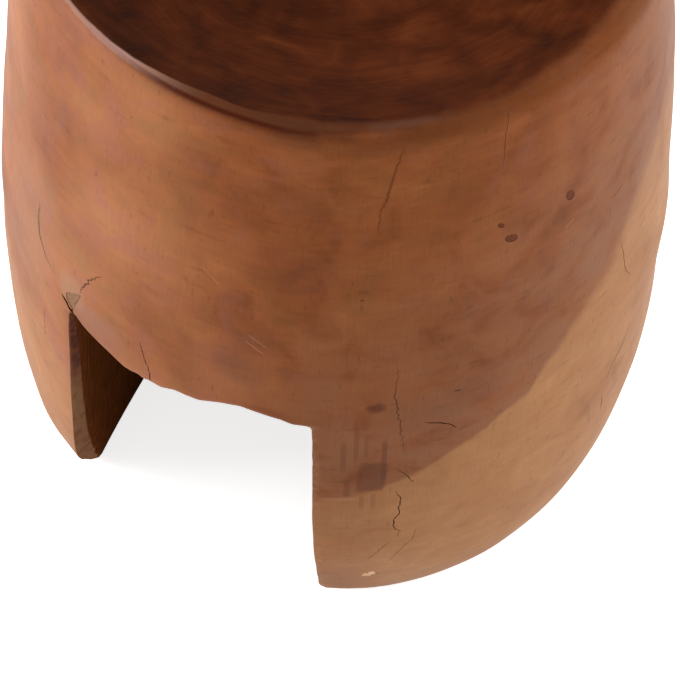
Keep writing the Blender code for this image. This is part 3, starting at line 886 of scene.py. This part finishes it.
def wallFrame(degrees, up):  # Z out of the wood, X round the barrel, Y up it
    spot = settle(np.array([wallPoint(degrees, up)]), rounds=5)
    outward = Vector(fieldSlope(spot)[0]).normalized()
    along = Vector((0, 0, 1)).cross(outward).normalized()
    place = Matrix((along, outward.cross(along), outward)).transposed().to_4x4()
    place.translation = spot[0]
    return place


def stackRings(rings, place):  # points and faces of a closed stack of rings
    count = len(rings[0])
    faces = [tuple(range(count - 1, -1, -1)), tuple(range((len(rings) - 1) * count, len(rings) * count))]
    for r in range(len(rings) - 1):
        for i in range(count):
            j = (i + 1) % count
            faces.append((r * count + i, r * count + j, (r + 1) * count + j, (r + 1) * count + i))
    return [place @ Vector(p) for ring in rings for p in ring], faces


plugs = {
    # degrees, mm up, long and short width in mm, tilt in degrees
    "plug_upper": (70.9, 330.4, 8.2, 4.8, 111),
    "plug_lower": (58.7, 322.9, 8.3, 5.0, 142),
    "plug_small": (56.6, 336.3, 4.6, 2.6, 128),
}
plugShape = {
    "length": 0.016, "gap": 0.00006, "sides": 40, "crown": 0.0001, "sink": 0.00002, "edgeDrop": 0.0004,
    "crownRings": (0.96, 0.85, 0.65, 0.4, 0.15),  # shares of the width, the first on the worn edge
}
filler = {
    "degrees": -20.9, "up": 216, "gap": 0.00008, "depth": 0.010, "sink": 0.0001, "edgeDrop": 0.0007,
    "rubbedRings": ((0.0003, 0.0002), (0.0009, 0), (0.0014, 0.0001)),  # how far in, how far down
    # outline of the wedge, round and up from there in mm
    "outline": ((0.4, -10.2), (1.4, -5.8), (2.4, -1.9), (4.4, 3.2), (5.2, 5.8), (5.9, 8.2), (4.6, 8.6),
                (1.9, 6.2), (-0.8, 3.8), (-3.3, 2), (-5.7, -0.8), (-5.4, -2.6), (-5, -4.8), (-2.2, -7.6)),
}


def plugRing(size, tilt, height, grow=0.0, scale=1.0):
    turns, lean = np.linspace(0, 2 * math.pi, plugShape["sides"], endpoint=False), math.radians(tilt)
    u, v = ((width / 2000 * scale + grow) * wave(turns) for width, wave in zip(size, (np.cos, np.sin)))
    along = u * math.cos(lean) - v * math.sin(lean)
    up = u * math.sin(lean) + v * math.cos(lean)
    return [(a, b, height) for a, b in zip(along, up)]


def fillerRing(grow, height):
    points = np.array(filler["outline"]) / 1000
    away = points - points.mean(0)
    points = points + away / np.linalg.norm(away, axis=1)[:, None] * grow
    return [(u, v, height) for u, v in points]


def makeCutters():
    group = bpy.data.collections.new("cutters")
    scene.collection.children.link(group)
    random = np.random.default_rng(crackShape["seed"])
    for number, (width, depth, jag, finish, path) in enumerate(cracks):
        wedge = crackWedge(random, width, depth, jag, path)
        addCutter(group, f"crackCutter{number}", *wedge, crackFinishes[finish])
    gap = plugShape["gap"]
    for name, (degrees, up, *size, tilt) in plugs.items():
        rings = [plugRing(size, tilt, height, gap) for height in (-plugShape["length"] - gap, cutterTop)]
        addCutter(group, name + "Cutter", *stackRings(rings, wallFrame(degrees, up)), plugFinish)
    gap = filler["gap"]
    rings = [fillerRing(gap, height) for height in (-filler["depth"] - gap, cutterTop)]
    place = wallFrame(filler["degrees"], filler["up"])
    addCutter(group, "fillerCutter", *stackRings(rings, place), fillFinish)
    return group


def carve(piece):
    group = makeCutters()
    cut = piece.modifiers.new("cuts", "BOOLEAN")
    cut.operation, cut.solver, cut.material_mode = "DIFFERENCE", "EXACT", "TRANSFER"
    cut.operand_type, cut.collection = "COLLECTION", group
    bpy.context.view_layer.update()
    result = bpy.data.meshes.new_from_object(piece.evaluated_get(bpy.context.evaluated_depsgraph_get()))
    piece.modifiers.clear()
    piece.data = result
    for cutter in list(group.objects):
        bpy.data.objects.remove(cutter)
    bpy.data.collections.remove(group)
    shape = bmesh.new()
    shape.from_mesh(result)
    for edge in shape.edges:  # keeps the shading crisp where a cut meets the face
        sameFinish = len({f.material_index for f in edge.link_faces}) == 1
        edge.smooth = sameFinish and edge.calc_face_angle(0) < sharpAngle
    loose = sum(len(e.link_faces) != 2 for e in shape.edges)
    shape.to_mesh(result)
    shape.free()
    for face in result.polygons:
        face.use_smooth = True
    print("body carved:", len(result.polygons), "faces,", loose, "edges without two faces")


stool.data.materials.append(woodFinish)
stool.data.materials.append(channelFinish)
carve(stool)
markZones(stool)
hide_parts("stool_body")
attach(stool, "root")


def addPiece(name, points, faces, finish, node, slot):
    mesh = bpy.data.meshes.new(name)
    mesh.from_pydata([tuple(p) for p in points], [], faces)
    mesh.materials.append(finish)
    piece = bpy.data.objects.new(name, mesh)
    scene.collection.objects.link(piece)
    for face in mesh.polygons:
        face.use_smooth = len(face.vertices) == 4
    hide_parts(node)
    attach(piece, "root")


for name, (degrees, up, *size, tilt) in plugs.items():
    top, crown = -plugShape["sink"], plugShape["crown"]
    rings = [plugRing(size, tilt, height) for height in (-plugShape["length"], top - plugShape["edgeDrop"])]
    for share in plugShape["crownRings"]:
        onEdge = share == plugShape["crownRings"][0]
        rings.append(plugRing(size, tilt, top - crown * (share ** 2 + onEdge), 0, share))
    addPiece(name + "_wood", *stackRings(rings, wallFrame(degrees, up)), plugFinish, name, "plug_wood")
top = -filler["sink"]
rings = [fillerRing(0, height) for height in (-filler["depth"], top - filler["edgeDrop"])]
rings += [fillerRing(-inset, top - down) for inset, down in filler["rubbedRings"]]
place = wallFrame(filler["degrees"], filler["up"])
addPiece("filler_wedge", *stackRings(rings, place), fillFinish, "crack_filler", "filler")
print("plugs and filler ready")

view = {
    "turn": 27.5, "rise": 53.03, "distance": 2.5395, "from": (0, 0, 0.21),
    "aimRight": 0.00667, "aimUp": 0.02196, "roll": 2.6, "lens": 258.2, "sensor": 36, "clipEnd": 50,
}


def makeCamera():
    turn, rise, roll = (math.radians(view[k]) for k in ("turn", "rise", "roll"))
    away = Vector((math.sin(turn) * math.cos(rise), -math.cos(turn) * math.cos(rise), math.sin(rise)))
    place = Vector(view["from"]) + away * view["distance"]
    aim = Vector((math.cos(turn), math.sin(turn), 0)) * view["aimRight"] + Vector((0, 0, view["aimUp"]))
    forward = (aim - place).normalized()
    right = forward.cross(Vector((0, 0, 1))).normalized()
    up = right.cross(forward)
    tilted = right * math.cos(roll) + up * math.sin(roll)
    upright = up * math.cos(roll) - right * math.sin(roll)
    camera = bpy.data.objects.new("camera", bpy.data.cameras.new("camera"))
    turned = Matrix((tilted, upright, -forward)).transposed().to_4x4()
    camera.matrix_world = Matrix.Translation(place) @ turned
    camera.data.lens, camera.data.sensor_width = view["lens"], view["sensor"]
    camera.data.clip_end = view["clipEnd"]
    scene.collection.objects.link(camera)
    scene.camera = camera


studio = {
    "ambient": 0.45, "floorSize": 8, "floorColour": "#F2F1EE", "floorGlow": 0.75,
    "floorDrop": 0.0003,  # just under the soles
    "aim": (0, 0, 0.2),
    # turn from the front, height, distance, size, watts
    "lamps": {
        "leftSoftbox": (-57, 1.0, 1.9, 1.2, 35),
        "rightSoftbox": (115, 1.1, 1.9, 1.2, 22),
        "overhead": (200, 2.2, 0.9, 1.6, 14),
    },
}


def makeLamps():
    for name, (turn, height, distance, size, watts) in studio["lamps"].items():
        lamp = bpy.data.lights.new(name, "AREA")
        lamp.energy, lamp.size = watts, size
        holder = bpy.data.objects.new(name, lamp)
        angle = math.radians(turn)
        holder.location = (math.sin(angle) * distance, -math.cos(angle) * distance, height)
        holder.rotation_euler = (Vector(studio["aim"]) - holder.location).to_track_quat("-Z", "Y").to_euler()
        scene.collection.objects.link(holder)


def makeWorld():  # soft light from all round, white where the camera sees it
    world = bpy.data.worlds.new("studio")
    scene.world = world
    world.use_nodes = True
    world.node_tree.nodes.clear()
    add = partial(addNode, world.node_tree)
    rays = [add("LightPath", out=name) for name in ("Is Camera Ray", "Is Transmission Ray")]
    seen = add("Math", rays, operation="MAXIMUM")
    level = add("MapRange", (seen, 0, 1, studio["ambient"], 1))
    add("OutputWorld", {"Surface": add("Background", {"Color": "#FFFFFF", "Strength": level})})


def makePaper():  # matt paper sweep, which burns out to white for the camera
    paper = bpy.data.materials.new("white_paper")
    paper.use_nodes = True
    paper.node_tree.nodes.clear()
    add = partial(addNode, paper.node_tree)
    seen = add("LightPath", out="Is Camera Ray")
    for name in ("Is Glossy Ray", "Is Transmission Ray"):
        seen = add("Math", (seen, add("LightPath", out=name)), operation="MAXIMUM")
    level = add("Math", (seen, studio["floorGlow"]), operation="MULTIPLY")
    matt = add("BsdfDiffuse", {"Color": studio["floorColour"]})
    glow = add("Emission", {"Color": "#FFFFFF", "Strength": level})
    add("OutputMaterial", {"Surface": add("AddShader", (matt, glow))})
    return paper


def makeFloor():
    half, low = studio["floorSize"] / 2, -studio["floorDrop"]
    corners = [(x * half, y * half, low) for x, y in ((-1, -1), (1, -1), (1, 1), (-1, 1))]
    mesh = bpy.data.meshes.new("studioFloor")
    mesh.from_pydata(corners, [], [(0, 1, 2, 3)])
    mesh.materials.append(makePaper())
    floor = bpy.data.objects.new("studio_floor", mesh)
    scene.collection.objects.link(floor)


makeCamera()
makeLamps()
makeWorld()
makeFloor()
scene.view_settings.view_transform = "Standard"
print("camera and studio ready")
